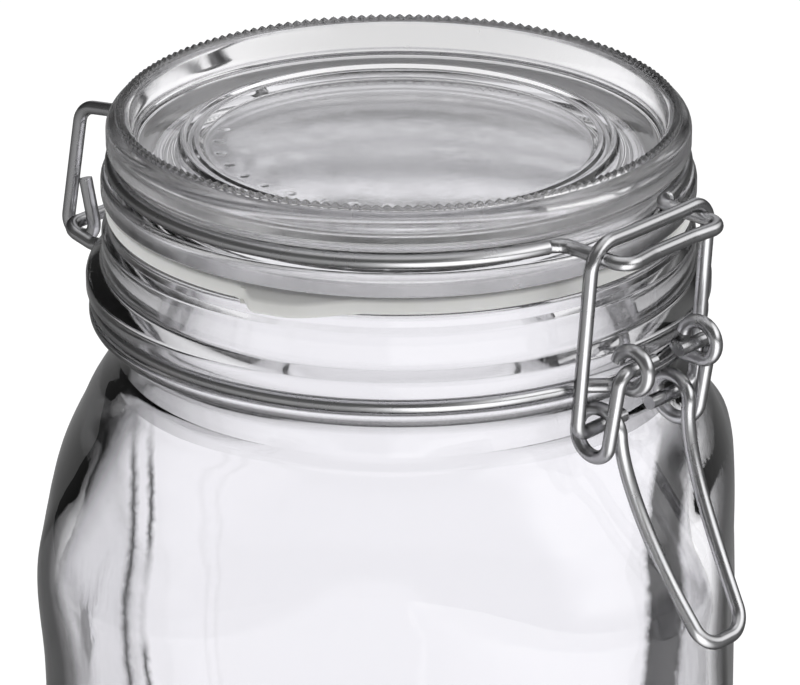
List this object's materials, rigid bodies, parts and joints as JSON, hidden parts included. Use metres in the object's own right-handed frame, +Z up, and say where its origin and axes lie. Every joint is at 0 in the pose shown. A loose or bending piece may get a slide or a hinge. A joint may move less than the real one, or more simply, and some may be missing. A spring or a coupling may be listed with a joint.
{
  "type": "clip top jar",
  "caption": "Square glass storage jar with a round neck, a hinged glass lid on a rubber gasket, and a wire bail and lever that clamp it shut.",
  "frame": {"origin": "centre of the flat base, on the surface the jar stands on", "axes": "+Z up through the neck and lid; X and Y square to the jar's flat sides; the clamp stands near the corner between +X and -Y, 7.5 degrees round towards +X, and the hinge opposite it"},
  "size_m": [0.1173, 0.112, 0.164],
  "materials": {
    "clear_glass": "clear pressed soda-lime glass, glossy, faintly grey",
    "pale_rubber": "translucent white rubber, matt",
    "steel_wire": "bright drawn steel wire, polished, with square cut ends"
  },
  "bodies": {
    "jar": {"jar_body": "clear_glass", "neck_wire": "steel_wire"},
    "lid": {"lid_glass": "clear_glass", "gasket": "pale_rubber", "lid_wire": "steel_wire"},
    "lever": {"lever": "steel_wire"},
    "bail": {"bail": "steel_wire"}
  },
  "joints": [
    {"name": "lid_hinge", "type": "hinge", "parent": "jar", "child": "lid", "pos_m": [-0.0476, 0.03653, 0.1325], "axis": [-0.6088, -0.7934, 0], "range_deg": [0, 150]},
    {"name": "lever_pivot", "type": "hinge", "parent": "jar", "child": "lever", "pos_m": [0.04467, -0.03427, 0.1359], "axis": [-0.6088, -0.7934, 0], "range_deg": [0, 90]},
    {"name": "bail_pivot", "type": "hinge", "parent": "lever", "child": "bail", "pos_m": [0.03998, -0.03068, 0.1251], "axis": [-0.6088, -0.7934, 0], "range_deg": [-135, 0]}
  ],
  "couplings": [
    {"joint": "bail_pivot", "follows": "lever_pivot", "ratio": -1.5}
  ]
}
